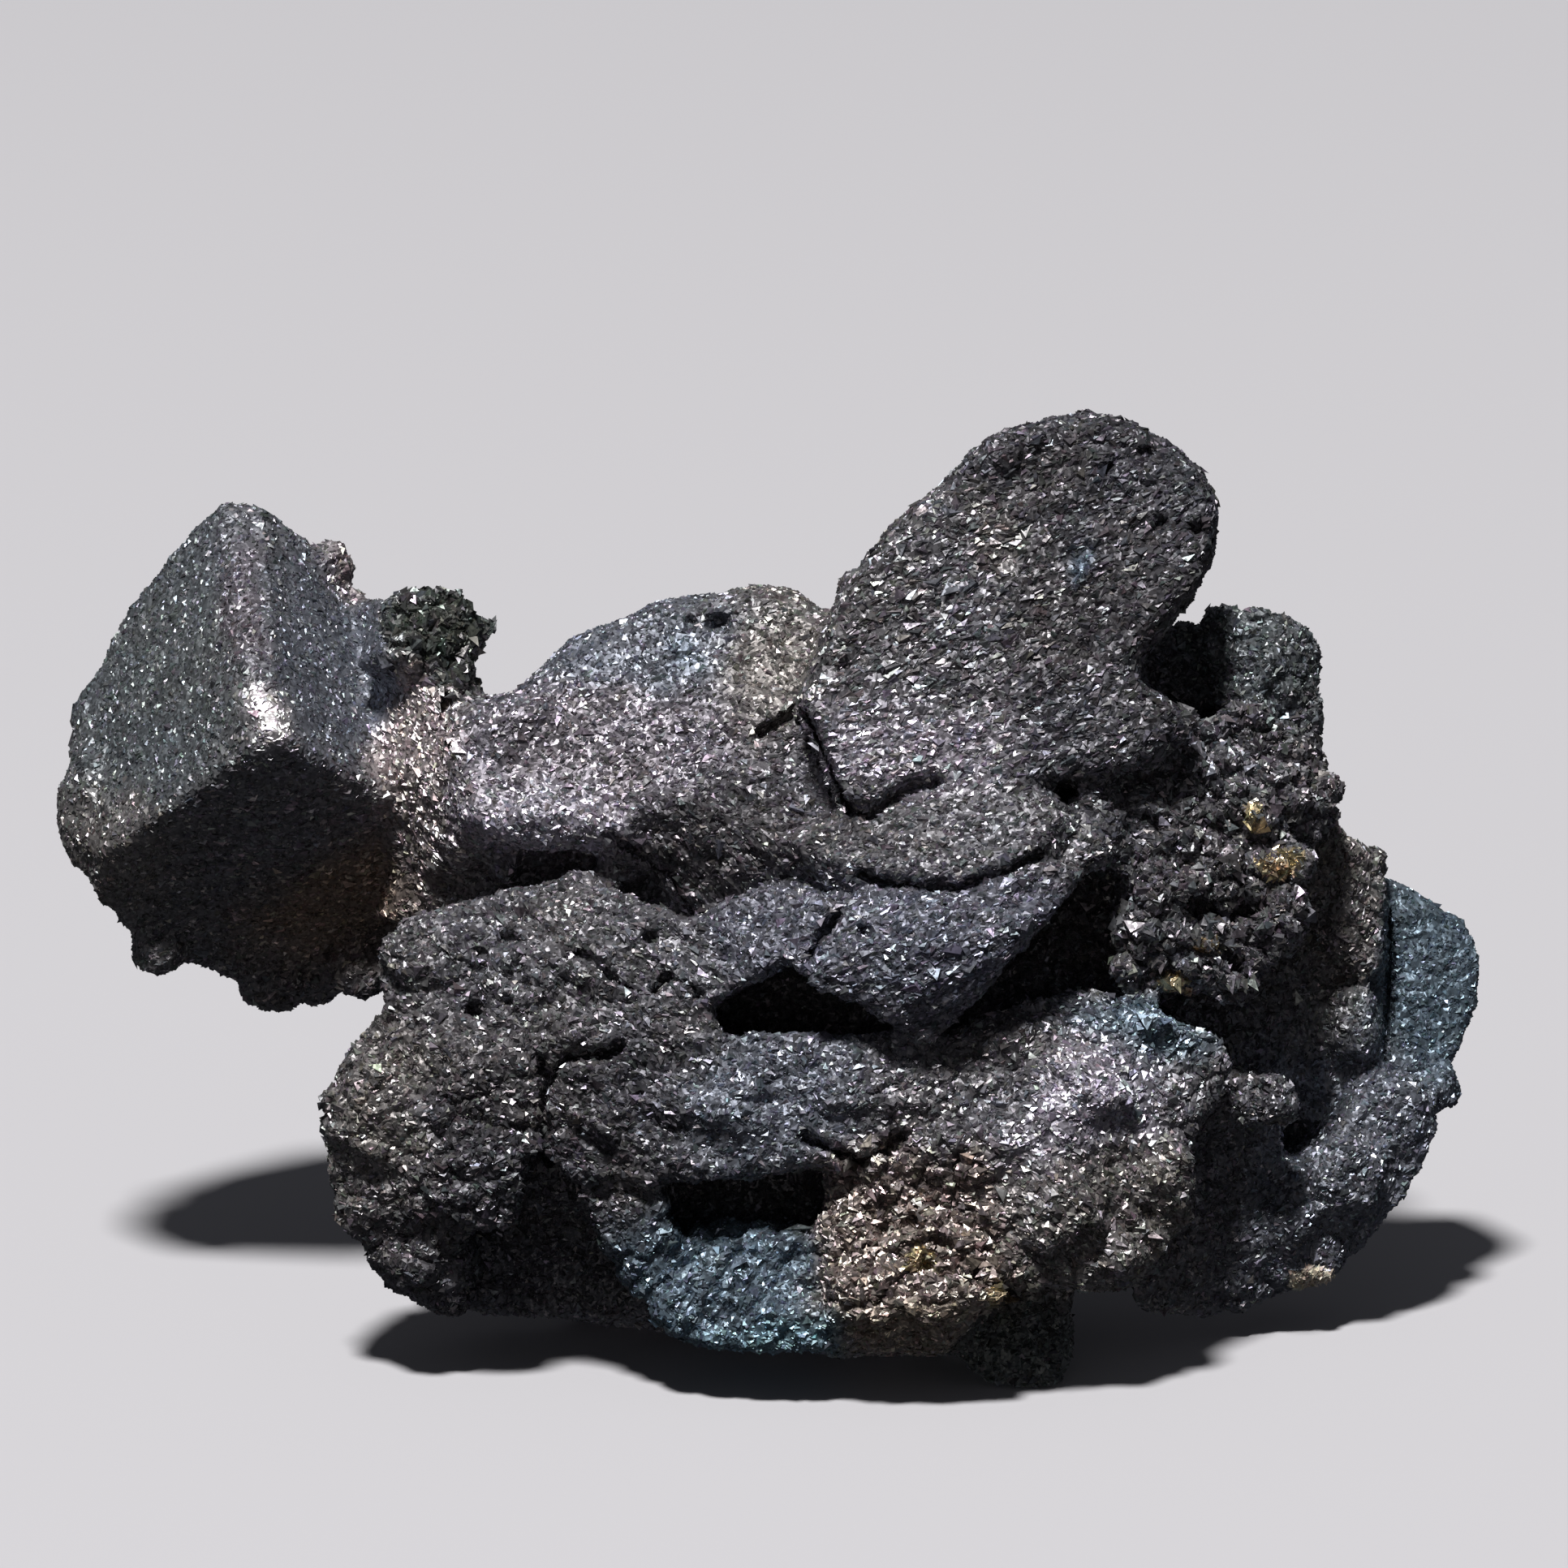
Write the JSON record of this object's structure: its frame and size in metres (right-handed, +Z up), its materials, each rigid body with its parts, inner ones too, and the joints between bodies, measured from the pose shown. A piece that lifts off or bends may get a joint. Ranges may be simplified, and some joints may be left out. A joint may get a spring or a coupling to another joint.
{
  "type": "galena crystal cluster",
  "caption": "Natural cluster of intergrown cubic galena crystals: a corner-forward cube on a neck, a tongue-shaped plate and granular masses, standing on small flat spots.",
  "frame": {"origin": "centre of the underside of the cluster's box, level with the flat spots that it stands on", "axes": "+X along its length, from the large cube to the thin plate; +Z up; its front faces -Y"},
  "size_m": [0.0454, 0.0222, 0.0298],
  "materials": {
    "galena": "lead-grey metallic crystals under a sparkling druse, tarnished dark with blue, violet and bronze"
  },
  "bodies": {
    "root": {"galena": "galena"}
  },
  "joints": []
}
